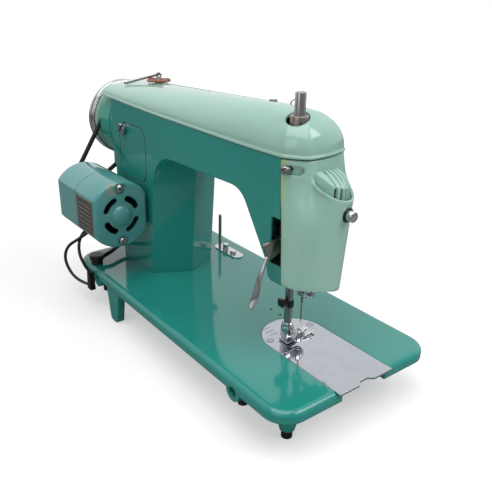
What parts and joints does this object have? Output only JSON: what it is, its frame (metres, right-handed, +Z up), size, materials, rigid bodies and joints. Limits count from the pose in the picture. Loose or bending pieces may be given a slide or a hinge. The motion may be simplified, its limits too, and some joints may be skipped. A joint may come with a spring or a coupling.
{
  "type": "sewing machine",
  "caption": "Household sewing machine: flat cast bed and arm with a hand wheel, belt-driven side motor, needle and presser bars, and a shuttle under a slide plate.",
  "frame": {"origin": "on the floor plane of the feet, under the middle of the machine's bounding box", "axes": "+X towards the hand wheel, +Y towards the motor and presser lifter at the rear, +Z up"},
  "size_m": [0.424, 0.1932, 0.269],
  "materials": {
    "casting": "gloss paint",
    "cover": "gloss paint",
    "motor": "gloss paint",
    "chrome": "polished",
    "steel": "machined",
    "blued": "blued",
    "bronze": "machined",
    "rubber": "matt",
    "bakelite": "satin",
    "felt": "felted",
    "glass": "clear"
  },
  "bodies": {
    "frame": {"bed_casting": "casting", "rubber_feet": "rubber", "hinge_set_screws": "bakelite", "needle_plate": "chrome", "needle_plate_screws": "steel", "arm_casting": "casting", "wheel_end_plate": "casting", "top_cover": "cover", "thread_guides": "steel", "face_cover": "cover", "face_cover_screw": "chrome", "lamp_socket": "bakelite", "lamp_bulb": "glass", "rear_cover": "casting", "rear_cover_screw": "chrome", "shaft_bushes": "bronze", "bar_bushes": "bronze", "drop_feed_plate": "chrome", "bed_spool_pin": "blued", "motor_bracket": "steel", "motor_front_bell": "motor", "motor_rear_housing": "motor", "motor_screws": "steel", "drive_belt": "rubber", "terminal_block": "bakelite", "lead_plug": "bakelite", "motor_leads": "rubber", "block_lead": "rubber", "spool_felt": "felt", "spool_bracket": "bakelite", "shuttle_race": "steel", "bobbin_case": "steel", "tension_discs": "chrome", "tension_stud": "steel"},
    "wheel": {"main_shaft": "steel", "hand_wheel": "motor", "wheel_rim": "chrome"},
    "clutch": {"clutch_knob": "chrome"},
    "rotor": {"motor_armature": "steel", "motor_pulley": "steel"},
    "needle_slider": {"needle_bar": "chrome", "needle_clamp": "chrome", "needle": "steel"},
    "take_up": {"take_up_lever": "chrome"},
    "presser": {"presser_bar": "chrome", "foot_clamp": "bakelite", "presser_foot": "chrome"},
    "lifter": {"presser_lifter": "chrome"},
    "pressure_plunger": {"pressure_pin": "chrome"},
    "pressure_ring": {"release_ring": "chrome"},
    "bed_slide": {"slide_plate": "chrome"},
    "feed_raise": {"raise_button": "chrome"},
    "feed_lower": {"drop_button": "chrome"},
    "feed": {"feed_dog": "steel"},
    "hook": {"shuttle_hook": "steel"},
    "bobbin_spool": {"bobbin": "steel"},
    "stitch_control": {"stitch_lever": "chrome"},
    "tension_dial": {"tension_knob": "chrome"},
    "spool_arm": {"spool_pin": "chrome"},
    "lamp_control": {"lamp_switch": "chrome"}
  },
  "joints": [
    {"name": "hand_wheel_turn", "type": "hinge", "parent": "frame", "child": "wheel", "pos_m": [0.174, -0.0046, 0.196], "axis": [1, 0, 0], "continuous": true},
    {"name": "clutch_knob_turn", "type": "hinge", "parent": "wheel", "child": "clutch", "pos_m": [0.204, -0.0046, 0.196], "axis": [1, 0, 0], "range_deg": [-60, 60]},
    {"name": "motor_turn", "type": "hinge", "parent": "frame", "child": "rotor", "pos_m": [0.113, 0.0671, 0.1229], "axis": [1, 0, 0], "continuous": true},
    {"name": "needle_bar_stroke", "type": "slide", "parent": "frame", "child": "needle_slider", "axis": [0, 0, 1], "range_m": [-0.028, 0.002]},
    {"name": "take_up_swing", "type": "hinge", "parent": "frame", "child": "take_up", "pos_m": [-0.1211, -0.0236, 0.194], "axis": [1, 0, 0], "range_deg": [-40, 5]},
    {"name": "lifter_swing", "type": "hinge", "parent": "frame", "child": "lifter", "pos_m": [-0.1277, 0.0144, 0.148], "axis": [1, 0, 0], "range_deg": [0, 55]},
    {"name": "presser_lift", "type": "slide", "parent": "frame", "child": "presser", "axis": [0, 0, 1], "range_m": [0, 0.0063]},
    {"name": "pressure_pin_travel", "type": "slide", "parent": "frame", "child": "pressure_plunger", "axis": [0, 0, 1], "range_m": [-0.007, 0]},
    {"name": "release_ring_press", "type": "slide", "parent": "frame", "child": "pressure_ring", "axis": [0, 0, 1], "range_m": [-0.002, 0], "stiffness_N_per_m": 400, "springref_m": 0.001},
    {"name": "slide_plate_open", "type": "slide", "parent": "frame", "child": "bed_slide", "axis": [-1, 0, 0], "range_m": [0, 0.03]},
    {"name": "raise_button_press", "type": "slide", "parent": "frame", "child": "feed_raise", "axis": [0, 0, 1], "range_m": [-0.0035, 0]},
    {"name": "drop_button_press", "type": "slide", "parent": "frame", "child": "feed_lower", "axis": [0, 0, 1], "range_m": [0, 0.0035]},
    {"name": "feed_dog_lift", "type": "slide", "parent": "frame", "child": "feed", "axis": [0, 0, 1], "range_m": [0, 0.0009]},
    {"name": "shuttle_oscillation", "type": "hinge", "parent": "frame", "child": "hook", "pos_m": [-0.142, -0.0104, 0.023], "axis": [1, 0, 0], "range_deg": [-95, 95]},
    {"name": "bobbin_turn", "type": "hinge", "parent": "frame", "child": "bobbin_spool", "pos_m": [-0.154, -0.0104, 0.023], "axis": [1, 0, 0], "continuous": true},
    {"name": "stitch_lever_swing", "type": "hinge", "parent": "frame", "child": "stitch_control", "pos_m": [0.101, -0.0336, 0.143], "axis": [1, 0, 0], "range_deg": [-18, 18]},
    {"name": "tension_knob_turn", "type": "hinge", "parent": "frame", "child": "tension_dial", "pos_m": [-0.115, -0.0596, 0.164], "axis": [0, 1, 0], "range_deg": [-170, 170]},
    {"name": "spool_pin_fold", "type": "hinge", "parent": "frame", "child": "spool_arm", "pos_m": [0.122, -0.0146, 0.252], "axis": [0.8572, -0.515, 0], "range_deg": [0, 105]},
    {"name": "lamp_switch_turn", "type": "hinge", "parent": "frame", "child": "lamp_control", "pos_m": [-0.169, -0.0141, 0.1775], "axis": [1, 0, 0], "range_deg": [0, 90]}
  ],
  "couplings": [
    {"joint": "motor_turn", "follows": "hand_wheel_turn", "ratio": 3.3158},
    {"joint": "lifter_swing", "follows": "presser_lift", "rad_per_m": 152.36},
    {"joint": "drop_button_press", "follows": "raise_button_press", "ratio": -1},
    {"joint": "feed_dog_lift", "follows": "raise_button_press", "ratio": -0.25714}
  ]
}
